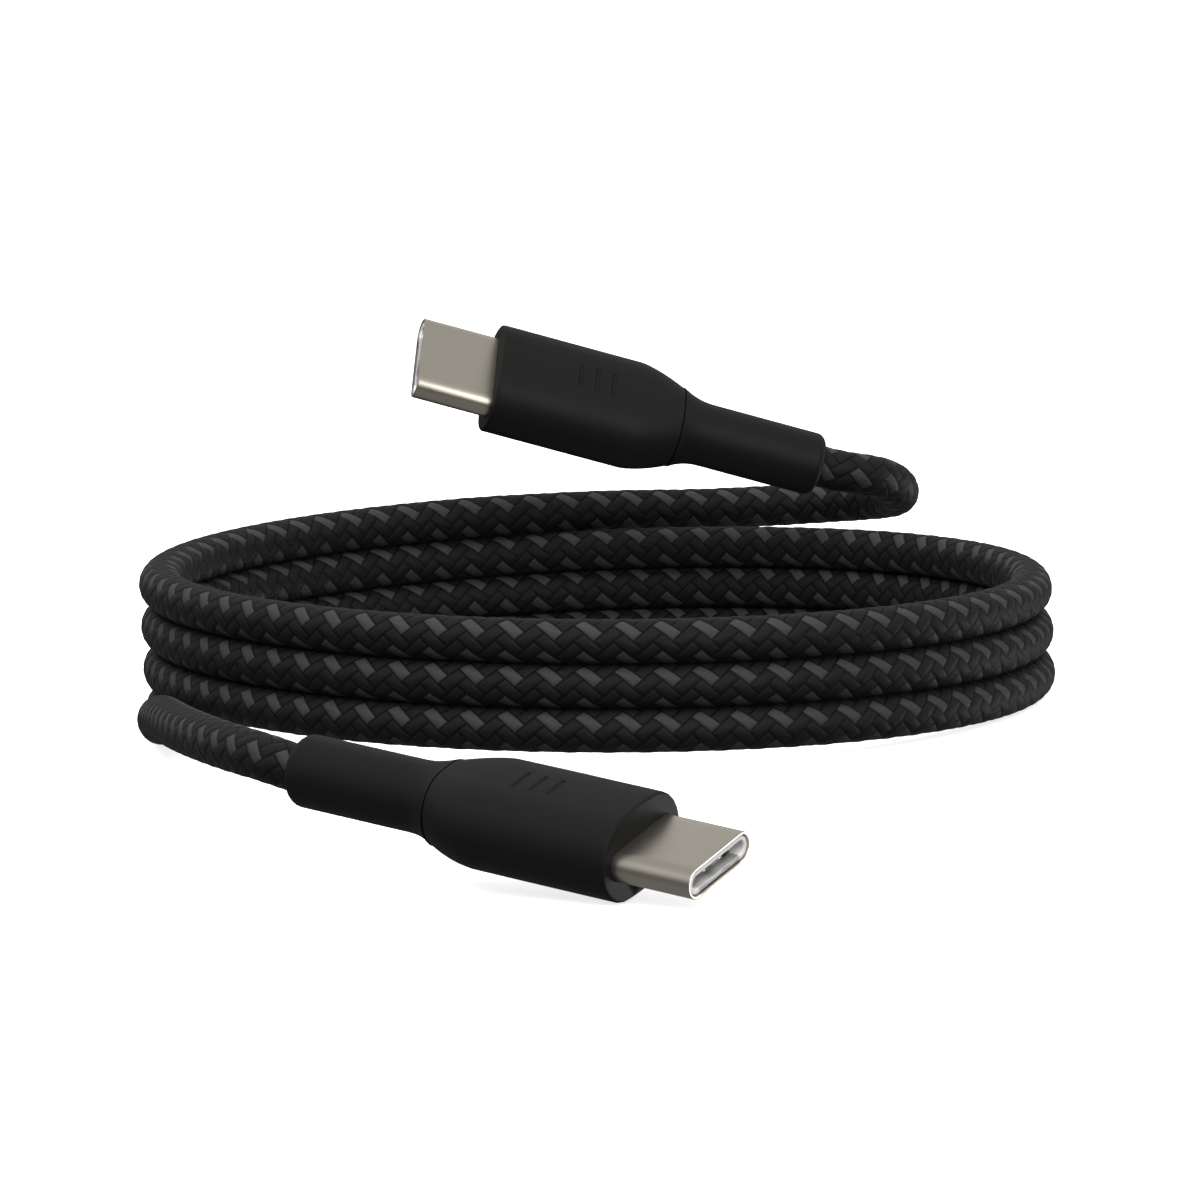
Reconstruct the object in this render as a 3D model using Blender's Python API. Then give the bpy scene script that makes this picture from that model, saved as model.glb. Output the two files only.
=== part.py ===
"""Coiled charging cable with a plug at each end.

A braided cord lies in a stacked coil. One end leaves the bottom turn and lies
forward to plug A, which leans on its nose. The other end leaves the top turn,
turns back on itself and carries plug B, which points up and to the left.

Each plug is built in its own frame: the origin is where the cord leaves the
strain relief, +X runs to the nose, Y is across the plug and +Z is its top.
Sizes below are in millimetres, and MM turns them into metres.
"""
import math

import bmesh
import bpy
import numpy as np
from mathutils import Matrix, Vector

MM = 0.001

# Cord and coil
CORD_DIAMETER = 3.54
CORD_RADIUS = CORD_DIAMETER / 2
COIL_RADIUS = 36.3
COIL_CENTRE = (1.46, 36.42)
COIL_SEGMENTS = 72
COIL_EDGE = 1.0
UPPER_LEVELS = 3
TOP_TURN_START = 108.5
LEAD_STEP = 2 * CORD_DIAMETER
FACE_GAP = 0.3
END_STRAIGHT = 1.5

# Plug lengths, from the cord's exit to the nose
RELIEF_LENGTH = 13.0
SEAM_GAP = 0.3
HOUSING_START = RELIEF_LENGTH + SEAM_GAP
HOUSING_FACE = 30.0
SHELL_REACH = 6.65
NOSE = HOUSING_FACE + SHELL_REACH

# Plug sections
HOUSING_WIDTH = 10.25
HOUSING_THICKNESS = 6.6
HOUSING_WALL = 0.9
SHOULDER_LENGTH = 4.0
FLARE_LENGTH = 3.0
NECK_SHARE = 0.6
RELIEF_RADIUS = 2.75
RELIEF_EDGE = 0.8
COLLAR_RADIUS = 2.2
COLLAR_LENGTH = 2.0
NECK_BORE_LENGTH = 1.6
NECK_BORE_RADIUS = COLLAR_RADIUS + 0.2
SHELL_WIDTH = 8.25
SHELL_THICKNESS = 2.4
SHELL_WALL = 0.25
SHELL_TAIL = 4.0
FIT_GAP = 0.05
RING_POINTS = 32

# Contact block inside the shell
BLOCK_WIDTH = 7.4
BLOCK_THICKNESS = 1.5
SLOT_WIDTH = 6.8
SLOT_THICKNESS = 1.0
BLOCK_FRONT = NOSE - 0.45
BLOCK_REAR = HOUSING_FACE - 2.4
CONTACT_COUNT = 12
CONTACT_PITCH = 0.5
CONTACT_WIDTH = 0.25
CONTACT_THICKNESS = 0.12
CONTACT_LIFT = 0.03
CHIP_SIZE = (2.0, 2.0, 0.6)
CHIP_REAR = HOUSING_FACE - 8.6
SPRING_THICKNESS = 0.1
FINGER_OFFSETS = (-2.1, 0.0, 2.1)
FINGER_WIDTH = 0.8
WINDOW_WIDTH = 1.1

# Electronics behind the shell
BOARD_THICKNESS = 0.6
BOARD_WIDTH = 6.8
TONGUE_WIDTH = 6.2
BOARD_FRONT = HOUSING_FACE - 3.0
BOARD_REAR = HOUSING_FACE - 10.4
CAN_WIDTH = 7.8
CAN_THICKNESS = 3.8
CAN_WALL = 0.2
CAN_LIFT = 0.06
CAN_FRONT = HOUSING_FACE - 4.4
CAN_REAR = HOUSING_FACE - 11.0
JACKET_FRONT = HOUSING_FACE - 13.1
FERRULE_WALL = 0.3
FERRULE_LENGTH = 1.4

# Where each plug lies: the cord's exit from the coil's centre, then the turns about Z, Y and X
PLUG_PLACES = {
    "a": ((-22.22, -80.1, 8.11), (-33.55, 8.21, 16.89)),
    "b": ((19.77, 27.93, 16.43), (190.32, -18.46, -46.94)),
}

# Cord from plug A to the coil's lowest turn, from the coil's centre
LEAD_A_ROUTE = (
    (-22.22, -80.1, 8.11),
    (-24.46, -77.98, 8.58),
    (-26.5, -74.74, 8.78),
    (-28.35, -70.49, 8.75),
    (-30.02, -65.28, 8.57),
    (-31.48, -59.23, 8.22),
    (-32.75, -52.4, 7.71),
    (-33.84, -44.89, 7.06),
    (-34.73, -36.77, 6.14),
    (-35.42, -28.14, 4.85),
    (-35.91, -19.09, 3.3),
    (-36.21, -9.67, 2.0),
    (-36.3, 0.0, 1.77),
)

# Cord from the coil's top turn, round its return bend, to plug B
LEAD_B_ROUTE = (
    (-11.52, 34.42, 12.39),
    (-4.38, 36.78, 12.24),
    (2.7, 39.2, 11.92),
    (9.78, 41.52, 11.45),
    (13.97, 43.01, 11.27),
    (17.6, 44.04, 11.17),
    (21.79, 43.94, 11.27),
    (25.42, 41.06, 11.73),
    (27.0, 35.94, 12.85),
    (25.23, 30.72, 14.8),
    (21.3, 28.2, 15.95),
    (19.77, 27.93, 16.43),
)

# Wires from the cord to the board: across, up, radius and colour
WIRES = {
    "power_wire": (1.0, 0.62, 0.36, (0.55, 0.03, 0.03)),
    "ground_wire": (-1.0, 0.62, 0.36, (0.02, 0.02, 0.02)),
    "config_wire": (0.0, 0.9, 0.2, (0.1, 0.2, 0.6)),
    "data_plus_wire": (0.55, -0.75, 0.22, (0.1, 0.45, 0.12)),
    "data_minus_wire": (-0.55, -0.75, 0.22, (0.8, 0.8, 0.78)),
}

FINISHES = {
    "soft_plastic": ((0.030, 0.029, 0.028), 0.55, 0.0),
    "nickel_shell": ((0.60, 0.56, 0.50), 0.28, 1.0),
    "light_insulator": ((0.80, 0.79, 0.76), 0.45, 0.0),
    "spring_steel": ((0.70, 0.68, 0.64), 0.3, 1.0),
    "gold_contact": ((0.83, 0.62, 0.28), 0.25, 1.0),
    "circuit_board": ((0.02, 0.16, 0.06), 0.5, 0.0),
    "dark_chip": ((0.02, 0.02, 0.02), 0.4, 0.0),
    "copper_ferrule": ((0.72, 0.45, 0.30), 0.35, 1.0),
    "braid": ((0.025, 0.025, 0.026), 0.8, 0.0),
}


def clear_scene():
    for thing in list(bpy.data.objects):
        bpy.data.objects.remove(thing, do_unlink=True)


def finish(name, colour, roughness, metallic):
    """A Principled material with the given look."""
    material = bpy.data.materials.new(name)
    material.use_nodes = True
    shader = material.node_tree.nodes["Principled BSDF"]
    shader.inputs["Base Color"].default_value = (*colour, 1.0)
    shader.inputs["Roughness"].default_value = roughness
    shader.inputs["Metallic"].default_value = metallic
    return material


def make_finishes():
    looks = {name: finish(name, *look) for name, look in FINISHES.items()}
    for name, (_, _, _, colour) in WIRES.items():
        looks[name] = finish(name + "_cover", colour, 0.5, 0.0)
    return looks


def add_object(name, data, material, parent):
    thing = bpy.data.objects.new(name, data)
    data.materials.append(material)
    bpy.context.scene.collection.objects.link(thing)
    thing.parent = parent
    return thing


def object_from_bmesh(name, bm, material, parent):
    """Close a bmesh into a smooth-shaded object, its faces pointing out."""
    bmesh.ops.recalc_face_normals(bm, faces=bm.faces)
    bmesh.ops.scale(bm, vec=(MM, MM, MM), verts=bm.verts)
    mesh = bpy.data.meshes.new(name)
    bm.to_mesh(mesh)
    bm.free()
    mesh.shade_smooth()
    mesh.set_sharp_from_angle(angle=math.radians(35))
    return add_object(name, mesh, material, parent)


def stadium(width, thickness, x, points=RING_POINTS):
    """Points round a section with flat faces and round ends, at station x."""
    radius = thickness / 2
    reach = width / 2 - radius
    ring = []
    for index in range(points):
        angle = 2 * math.pi * (index + 0.5) / points
        centre = math.copysign(reach, math.cos(angle))
        ring.append(Vector((x, centre + radius * math.cos(angle), radius * math.sin(angle))))
    return ring


def loft(name, rings, material, parent, around=False):
    """Skin a row of rings. around joins the last ring to the first, otherwise both ends are capped."""
    bm = bmesh.new()
    loops = [[bm.verts.new(point) for point in ring] for ring in rings]
    pairs = list(zip(loops, loops[1:]))
    if around:
        pairs.append((loops[-1], loops[0]))
    for near, far in pairs:
        for index in range(len(near)):
            bm.faces.new((near[index - 1], near[index], far[index], far[index - 1]))
    if not around:
        bm.faces.new(loops[0])
        bm.faces.new(loops[-1])
    return object_from_bmesh(name, bm, material, parent)


def turned(name, profile, material, parent, segments=28):
    """Turn a closed profile of (x, radius) points about the X axis."""
    bm = bmesh.new()
    verts = [bm.verts.new((x, 0.0, radius)) for x, radius in profile]
    edges = [bm.edges.new((verts[index - 1], verts[index])) for index in range(len(verts))]
    bmesh.ops.spin(
        bm, geom=verts + edges, cent=(0, 0, 0), axis=(1, 0, 0),
        angle=2 * math.pi, steps=segments, use_merge=True,
    )
    return object_from_bmesh(name, bm, material, parent)


def plate(name, outline, low, high, material, parent):
    """Extrude an outline of (x, y) points from height low to height high."""
    bm = bmesh.new()
    base = bm.faces.new([bm.verts.new((x, y, low)) for x, y in outline])
    grown = bmesh.ops.extrude_face_region(bm, geom=[base])
    raised = [item for item in grown["geom"] if isinstance(item, bmesh.types.BMVert)]
    bmesh.ops.translate(bm, verts=raised, vec=(0, 0, high - low))
    return object_from_bmesh(name, bm, material, parent)


def strip(name, outline, start, end, material, parent):
    """Extrude a section of (y, z) points from station start to station end."""
    bm = bmesh.new()
    base = bm.faces.new([bm.verts.new((start, y, z)) for y, z in outline])
    grown = bmesh.ops.extrude_face_region(bm, geom=[base])
    moved = [item for item in grown["geom"] if isinstance(item, bmesh.types.BMVert)]
    bmesh.ops.translate(bm, verts=moved, vec=(end - start, 0, 0))
    return object_from_bmesh(name, bm, material, parent)


def blocks(name, boxes, material, parent):
    """Separate boxes in one mesh, each given by its low and high corners."""
    bm = bmesh.new()
    for low, high in boxes:
        size = Vector(high) - Vector(low)
        middle = (Vector(high) + Vector(low)) / 2
        place = Matrix.Translation(middle) @ Matrix.Diagonal((*size, 1.0))
        bmesh.ops.create_cube(bm, size=1.0, matrix=place)
    return object_from_bmesh(name, bm, material, parent)


def combine(base, operand, operation):
    """Join or cut base with an operand that stays a hidden guide."""
    operand.hide_render = True
    operand.display_type = "WIRE"
    modifier = base.modifiers.new(operation.lower(), "BOOLEAN")
    modifier.operation = operation
    modifier.solver = "EXACT"
    modifier.object = operand
    return base


def tube(name, points, radius, material, parent, sides=3):
    """A round tube with closed ends along a row of points in millimetres."""
    curve = bpy.data.curves.new(name, "CURVE")
    curve.dimensions = "3D"
    curve.bevel_depth = radius * MM
    curve.bevel_resolution = sides
    curve.use_fill_caps = True
    spline = curve.splines.new("POLY")
    spline.points.add(len(points) - 1)
    for point, place in zip(spline.points, points):
        point.co = (*(Vector(place) * MM), 1.0)
    return add_object(name, curve, material, parent)


def arc(radius, start, end, steps, centre=(0.0, 0.0)):
    """Points on an arc between two angles in degrees."""
    angles = [math.radians(start + (end - start) * index / steps) for index in range(steps + 1)]
    return [(centre[0] + radius * math.cos(a), centre[1] + radius * math.sin(a)) for a in angles]


# The plug's outer pieces


def narrowed(x, share):
    """Section at station x, part of the way from the body's shape (0) to the sleeve's circle (1)."""
    width = HOUSING_WIDTH + (2 * RELIEF_RADIUS - HOUSING_WIDTH) * share
    thickness = HOUSING_THICKNESS + (2 * RELIEF_RADIUS - HOUSING_THICKNESS) * share
    return stadium(width, thickness, x)


def circle(radius, x):
    return stadium(2 * radius, 2 * radius, x)


def plug_housing(tag, looks, parent):
    """Hollow soft-touch body: full section, then shoulders down to the neck."""
    face = HOUSING_FACE
    shoulder = HOUSING_START + SHOULDER_LENGTH
    rings = [
        stadium(HOUSING_WIDTH - 0.9, HOUSING_THICKNESS - 0.9, face),
        stadium(HOUSING_WIDTH - 0.25, HOUSING_THICKNESS - 0.25, face - 0.15),
        stadium(HOUSING_WIDTH, HOUSING_THICKNESS, face - 0.5),
        narrowed(shoulder, 0.0),
    ]
    for part in (0.2, 0.4, 0.6, 0.8, 1.0):
        rings.append(narrowed(shoulder - SHOULDER_LENGTH * part, NECK_SHARE * part**1.5))
    hollow_width = HOUSING_WIDTH - 2 * HOUSING_WALL
    hollow_thickness = HOUSING_THICKNESS - 2 * HOUSING_WALL
    mouth_width = SHELL_WIDTH + 2 * FIT_GAP
    mouth_thickness = SHELL_THICKNESS + 2 * FIT_GAP
    rings += [
        circle(NECK_BORE_RADIUS, HOUSING_START),
        circle(NECK_BORE_RADIUS, HOUSING_START + NECK_BORE_LENGTH),
        stadium(hollow_width, hollow_thickness, shoulder + 0.6),
        stadium(hollow_width, hollow_thickness, face - 1.6),
        stadium(mouth_width, mouth_thickness, face - 1.2),
        stadium(mouth_width, mouth_thickness, face),
    ]
    return loft("plug_housing_" + tag, rings, looks["soft_plastic"], parent, around=True)


def strain_relief(tag, looks, parent):
    """Sleeve over the cord: round, flared to the housing's neck, with a collar inside the neck."""
    bore = CORD_RADIUS + FIT_GAP
    collar_end = RELIEF_LENGTH + COLLAR_LENGTH
    rings = []
    for x, radius in arc(RELIEF_EDGE, 180, 90, 4, (RELIEF_EDGE, RELIEF_RADIUS - RELIEF_EDGE)):
        rings.append(circle(radius, x))
    for part in (1.0, 0.75, 0.5, 0.25, 0.1):
        share = NECK_SHARE + (1 - NECK_SHARE) * (1 - (1 - part) ** 2.4)
        rings.append(narrowed(RELIEF_LENGTH - FLARE_LENGTH * part, share))
    rings += [
        circle(RELIEF_RADIUS, RELIEF_LENGTH),
        circle(COLLAR_RADIUS, RELIEF_LENGTH),
        circle(COLLAR_RADIUS, collar_end),
        circle(bore, collar_end),
        circle(bore, 0.0),
    ]
    return loft("strain_relief_" + tag, rings, looks["soft_plastic"], parent, around=True)


def cable_jacket_end(tag, looks, parent):
    """The cord's end, held in the strain relief."""
    rings = [circle(CORD_RADIUS, 0.0), circle(CORD_RADIUS, JACKET_FRONT)]
    return loft("cable_jacket_end_" + tag, rings, looks["braid"], parent)


def plug_shell(tag, looks, parent):
    """Drawn metal shell that goes into the socket."""
    inner_width = SHELL_WIDTH - 2 * SHELL_WALL
    inner_thickness = SHELL_THICKNESS - 2 * SHELL_WALL
    tail = HOUSING_FACE - SHELL_TAIL
    rings = [
        stadium(SHELL_WIDTH, SHELL_THICKNESS, tail),
        stadium(SHELL_WIDTH, SHELL_THICKNESS, NOSE - 0.3),
        stadium(SHELL_WIDTH - 0.18, SHELL_THICKNESS - 0.18, NOSE),
        stadium(inner_width, inner_thickness, NOSE),
        stadium(inner_width, inner_thickness, tail),
    ]
    return loft("plug_shell_" + tag, rings, looks["nickel_shell"], parent, around=True)


# The contact block


def contact_housing(tag, looks, parent):
    """Insulating block with the mouth slot and windows for the ground fingers."""
    rings = [
        stadium(BLOCK_WIDTH, BLOCK_THICKNESS, BLOCK_REAR),
        stadium(BLOCK_WIDTH, BLOCK_THICKNESS, BLOCK_FRONT),
        stadium(SLOT_WIDTH, SLOT_THICKNESS, BLOCK_FRONT),
        stadium(SLOT_WIDTH, SLOT_THICKNESS, BLOCK_REAR),
    ]
    block = loft("contact_housing_" + tag, rings, looks["light_insulator"], parent, around=True)
    half = WINDOW_WIDTH / 2
    cuts = [
        ((NOSE - 2.2, middle - half, -BLOCK_THICKNESS), (NOSE - 1.0, middle + half, BLOCK_THICKNESS))
        for middle in FINGER_OFFSETS
    ]
    windows = blocks("window_cutter_" + tag, cuts, looks["light_insulator"], parent)
    return combine(block, windows, "DIFFERENCE")


def ground_spring(tag, side, looks, parent):
    """Thin plate between block and shell, with three fingers through the windows."""
    place = "top" if side > 0 else "bottom"
    inner = BLOCK_THICKNESS / 2 + 0.02
    base = [((NOSE - 5.6, -2.9, inner), (NOSE - 0.8, 2.9, inner + SPRING_THICKNESS))]
    half = FINGER_WIDTH / 2
    fingers = [
        ((NOSE - 2.05, middle - half, inner - 0.3), (NOSE - 1.25, middle + half, inner + 0.05))
        for middle in FINGER_OFFSETS
    ]
    turn = Matrix.Identity(4) if side > 0 else Matrix.Rotation(math.pi, 4, "X")
    spring = blocks("ground_spring_" + place + "_" + tag, base, looks["spring_steel"], parent)
    spring.data.transform(turn)
    tabs = blocks("finger_guide_" + place + "_" + tag, fingers, looks["spring_steel"], parent)
    tabs.data.transform(turn)
    return combine(spring, tabs, "UNION")


def contact_row(tag, side, looks, parent):
    """Twelve blades joined by their carrier bar, with tails on the board."""
    place = "top" if side > 0 else "bottom"
    bar_front = HOUSING_FACE - 1.2
    bar_rear = HOUSING_FACE - 1.9
    tip = NOSE - 1.7
    tail = HOUSING_FACE - 4.3
    half = CONTACT_WIDTH / 2
    middles = [CONTACT_PITCH * (index - (CONTACT_COUNT - 1) / 2) for index in range(CONTACT_COUNT)]
    outline = []
    for middle in middles:
        near, far = middle - half, middle + half
        outline += [(bar_front, near), (tip, near), (tip, far), (bar_front, far)]
    for middle in reversed(middles):
        near, far = middle + half, middle - half
        outline += [(bar_rear, near), (tail, near), (tail, far), (bar_rear, far)]
    low = BOARD_THICKNESS / 2 + CONTACT_LIFT
    heights = sorted((side * low, side * (low + CONTACT_THICKNESS)))
    return plate("contact_row_" + place + "_" + tag, outline, *heights, looks["gold_contact"], parent)


def latch_plate(tag, looks, parent):
    """Middle plate whose two side arms end in latch hooks."""
    arm = SLOT_WIDTH / 2 - 0.12
    tip = NOSE - 1.4
    root = HOUSING_FACE - 0.4
    rear = HOUSING_FACE - 2.2
    upper = [(rear, arm), (tip, arm), (tip - 0.2, arm - 0.5), (tip - 0.9, arm - 0.3), (root, arm - 0.3)]
    lower = [(x, -y) for x, y in reversed(upper)]
    return plate("latch_plate_" + tag, upper + lower, -0.075, 0.075, looks["spring_steel"], parent)


def rear_insulator(tag, looks, parent):
    """Ring that closes the back of the contact block round the tails."""
    start = BLOCK_REAR - 0.15
    rings = [
        stadium(BLOCK_WIDTH, BLOCK_THICKNESS, start - 0.9),
        stadium(BLOCK_WIDTH, BLOCK_THICKNESS, start),
        stadium(SLOT_WIDTH + 0.1, SLOT_THICKNESS + 0.1, start),
        stadium(SLOT_WIDTH + 0.1, SLOT_THICKNESS + 0.1, start - 0.9),
    ]
    return loft("rear_insulator_" + tag, rings, looks["light_insulator"], parent, around=True)


# Electronics and the cord's end


def circuit_board(tag, looks, parent):
    """Board with a narrow tongue that reaches into the shell."""
    tongue = TONGUE_WIDTH / 2
    wide = BOARD_WIDTH / 2
    step = CAN_FRONT - 0.1
    outline = [
        (BOARD_FRONT, -tongue), (BOARD_FRONT, tongue), (step, tongue), (step, wide),
        (BOARD_REAR, wide), (BOARD_REAR, -wide), (step, -wide), (step, -tongue),
    ]
    half = BOARD_THICKNESS / 2
    return plate("circuit_board_" + tag, outline, -half, half, looks["circuit_board"], parent)


def marker_chip(tag, looks, parent):
    low = BOARD_THICKNESS / 2 + CONTACT_LIFT
    length, width, height = CHIP_SIZE
    box = [((CHIP_REAR, -width / 2, low), (CHIP_REAR + length, width / 2, low + height))]
    return blocks("marker_chip_" + tag, box, looks["dark_chip"], parent)


def shield_can(tag, side, looks, parent):
    """Half of the pressed can that wraps the board."""
    place = "upper" if side > 0 else "lower"
    outer = CAN_THICKNESS / 2
    inner = outer - CAN_WALL
    reach = CAN_WIDTH / 2 - outer
    right = (reach, CAN_LIFT)
    left = (-reach, CAN_LIFT)
    section = arc(outer, 0, 90, 5, right) + arc(outer, 90, 180, 5, left)
    section += arc(inner, 180, 90, 5, left) + arc(inner, 90, 0, 5, right)
    section = [(y, side * z) for y, z in section]
    name = "shield_can_" + place + "_" + tag
    return strip(name, section, CAN_REAR, CAN_FRONT, looks["nickel_shell"], parent)


def crimp_ferrule(tag, looks, parent):
    inner = CORD_RADIUS + FIT_GAP
    outer = inner + FERRULE_WALL
    front = JACKET_FRONT - 0.2
    rear = front - FERRULE_LENGTH
    profile = [(rear, inner), (rear, outer), (front, outer), (front, inner)]
    return turned("crimp_ferrule_" + tag, profile, looks["copper_ferrule"], parent, segments=24)


def wire(tag, name, looks, parent):
    """One insulated wire from the cord's end to its pad on the board."""
    across, up, radius, _ = WIRES[name]
    pad = math.copysign(BOARD_THICKNESS / 2 + radius + 0.05, up)
    start = JACKET_FRONT + 0.2
    end = BOARD_REAR + 1.3
    middle = (start + BOARD_REAR) / 2
    points = [
        (start, across, up), (start + 0.6, across, up), (middle, across * 1.4, (up + pad) / 2),
        (BOARD_REAR - 0.1, across * 1.9, pad), (end, across * 2.0, pad),
    ]
    return tube(name + "_" + tag, points, radius, looks[name], parent, sides=1)


def build_plug(tag, looks, centre):
    """All of one plug's pieces, hung from an empty at the cord's exit."""
    place, (yaw, pitch, roll) = PLUG_PLACES[tag]
    holder = bpy.data.objects.new("plug_frame_" + tag, None)
    bpy.context.scene.collection.objects.link(holder)
    turn = Matrix.Rotation(math.radians(yaw), 4, "Z")
    turn = turn @ Matrix.Rotation(math.radians(pitch), 4, "Y")
    turn = turn @ Matrix.Rotation(math.radians(roll), 4, "X")
    holder.matrix_world = Matrix.Translation((centre + Vector(place)) * MM) @ turn
    plug_housing(tag, looks, holder)
    strain_relief(tag, looks, holder)
    cable_jacket_end(tag, looks, holder)
    plug_shell(tag, looks, holder)
    contact_housing(tag, looks, holder)
    latch_plate(tag, looks, holder)
    rear_insulator(tag, looks, holder)
    circuit_board(tag, looks, holder)
    marker_chip(tag, looks, holder)
    crimp_ferrule(tag, looks, holder)
    for side in (1, -1):
        ground_spring(tag, side, looks, holder)
        contact_row(tag, side, looks, holder)
        shield_can(tag, side, looks, holder)
    for name in WIRES:
        wire(tag, name, looks, holder)


# The cord


def ease(part):
    """Smooth 0 to 1 step, flat at both ends."""
    part = min(max(part, 0.0), 1.0)
    return part * part * (3 - 2 * part)


def coil_heights(angle):
    """Underside and top of the stacked turns at an angle in degrees, seen from above.

    The turns lie level round the back. Round the front each one comes down by
    a cord's diameter, from the left (180) to the right (360).
    """
    if angle <= 180:
        levels = UPPER_LEVELS + (1 if angle > TOP_TURN_START else 0)
        return 0.0, levels * CORD_DIAMETER - (FACE_GAP if angle <= TOP_TURN_START else 0.0)
    drop = CORD_DIAMETER * ease((angle - 180) / 180)
    top = (UPPER_LEVELS + 1) * CORD_DIAMETER - drop - FACE_GAP * ease((angle - 180) / 180)
    return (CORD_DIAMETER + FACE_GAP) * (1 - ease((angle - 180) / 180)), top


def coil_section(angle):
    """Eight-sided section of the whole stack at an angle in degrees."""
    low, high = coil_heights(angle)
    inner = COIL_RADIUS - CORD_RADIUS
    outer = COIL_RADIUS + CORD_RADIUS
    edge = COIL_EDGE
    corners = [
        (inner + edge, low), (outer - edge, low), (outer, low + edge), (outer, high - edge),
        (outer - edge, high), (inner + edge, high), (inner, high - edge), (inner, low + edge),
    ]
    turn = math.radians(angle)
    return [Vector((r * math.cos(turn), r * math.sin(turn), z)) for r, z in corners]


def cable_coil(looks, centre):
    """One closed solid with the outer shape of the stacked turns."""
    step = 360 / COIL_SEGMENTS
    angles = [index * step for index in range(COIL_SEGMENTS)]
    angles += [TOP_TURN_START, TOP_TURN_START + 0.3, 180.3]
    sections = [[centre + point for point in coil_section(angle)] for angle in sorted(angles)]
    return loft("cable_coil", sections, looks["braid"], None, around=True)


def smooth_route(points, start_heading, end_heading, step):
    """Points a step apart on the cubic spline through a route, with set end headings."""
    places = np.array(points)
    spans = np.linalg.norm(np.diff(places, axis=0), axis=1)
    knots = np.concatenate([[0.0], np.cumsum(spans)])
    count = len(places)
    system = np.zeros((count, count))
    right = np.zeros((count, 3))
    system[0, 0] = 1.0
    system[-1, -1] = 1.0
    right[0] = start_heading
    right[-1] = end_heading
    for index in range(1, count - 1):
        before = spans[index - 1]
        after = spans[index]
        system[index, index - 1:index + 2] = (after, 2 * (before + after), before)
        rise_before = (places[index] - places[index - 1]) / before
        rise_after = (places[index + 1] - places[index]) / after
        right[index] = 3 * (after * rise_before + before * rise_after)
    slopes = np.linalg.solve(system, right)
    samples = np.linspace(0.0, knots[-1], max(2, round(knots[-1] / step) + 1))
    route = []
    for place in samples:
        index = min(int(np.searchsorted(knots, place, side="right")) - 1, count - 2)
        span = spans[index]
        t = (place - knots[index]) / span
        point = (
            places[index] * (2 * t**3 - 3 * t**2 + 1)
            + places[index + 1] * (3 * t**2 - 2 * t**3)
            + slopes[index] * span * (t**3 - 2 * t**2 + t)
            + slopes[index + 1] * span * (t**3 - t**2)
        )
        route.append(Vector(point))
    return route


def plug_heading(tag):
    """Unit vector from a plug's exit towards its nose."""
    _, (yaw, pitch, _) = PLUG_PLACES[tag]
    turn = Matrix.Rotation(math.radians(yaw), 3, "Z") @ Matrix.Rotation(math.radians(pitch), 3, "Y")
    return turn @ Vector((1, 0, 0))


def trimmed(route, start_heading, end_heading):
    """Start and end a route square to its neighbours, short by the gap that touching faces keep."""
    start = [route[0] + start_heading * reach for reach in (FACE_GAP, END_STRAIGHT)]
    end = [route[-1] - end_heading * reach for reach in (END_STRAIGHT, FACE_GAP)]
    return [*start, *route[1:-1], *end]


def cable_leads(looks, centre):
    """The two stretches of cord that aren't coiled."""
    headings = {
        "a": (-plug_heading("a"), Vector((0, 1, 0))),
        "b": (Vector((0.949, 0.316, 0)), plug_heading("b")),
    }
    for tag, route in (("a", LEAD_A_ROUTE), ("b", LEAD_B_ROUTE)):
        points = smooth_route(route, *headings[tag], LEAD_STEP)
        points = [centre + point for point in trimmed(points, *headings[tag])]
        tube("cable_lead_" + tag, points, CORD_RADIUS, looks["braid"], None, sides=2)


def main():
    clear_scene()
    looks = make_finishes()
    centre = Vector((*COIL_CENTRE, 0.0))
    for tag in PLUG_PLACES:
        build_plug(tag, looks, centre)
    cable_coil(looks, centre)
    cable_leads(looks, centre)


main()
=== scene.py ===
import math

import bmesh
import bpy
import numpy as np
from bpy.props import FloatProperty, FloatVectorProperty, PointerProperty
from mathutils import Matrix, Vector


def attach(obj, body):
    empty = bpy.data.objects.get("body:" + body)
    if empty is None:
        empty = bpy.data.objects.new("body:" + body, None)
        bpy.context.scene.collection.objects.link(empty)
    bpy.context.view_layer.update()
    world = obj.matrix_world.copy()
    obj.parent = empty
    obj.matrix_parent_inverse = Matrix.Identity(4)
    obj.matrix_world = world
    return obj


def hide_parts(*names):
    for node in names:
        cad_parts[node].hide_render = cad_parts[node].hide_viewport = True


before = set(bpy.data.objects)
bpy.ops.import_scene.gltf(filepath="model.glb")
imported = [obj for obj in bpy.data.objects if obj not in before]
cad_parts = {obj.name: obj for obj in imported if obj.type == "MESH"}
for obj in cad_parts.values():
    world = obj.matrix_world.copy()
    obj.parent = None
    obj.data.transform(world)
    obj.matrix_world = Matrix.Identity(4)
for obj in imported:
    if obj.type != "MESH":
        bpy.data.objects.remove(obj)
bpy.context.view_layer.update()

bl_info = {
    "name": "Charging Cable",
    "version": (1, 0, 0),
    "blender": (4, 5, 0),
    "location": "3D View > Sidebar > Charging Cable",
    "description": "Dresses the packed charging cable: braided cord, plugs and studio",
    "category": "Object",
}

# Millimetres below are turned into metres by MM. Each plug is shaped in its own frame:
# the origin is where the cord leaves the strain relief, +X runs to the nose, +Z is its top.
MM = 0.001

# The coil, and the degrees round it, from the lowest turn's left side, where the top turn ends
COIL_CENTRE = (1.46, 36.42)
COIL_RADIUS = 36.3
COIL_TURNS = 3
TOP_TURN_END = -71.5

# Each plug's cord exit, from the coil's centre, and its yaw, pitch and roll in degrees
PLUG_PLACES = {
    "a": ((-22.22, -80.1, 8.11), (-33.55, 8.21, 16.89)),
    "b": ((19.77, 27.93, 16.43), (190.32, -18.46, -46.94)),
}

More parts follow.
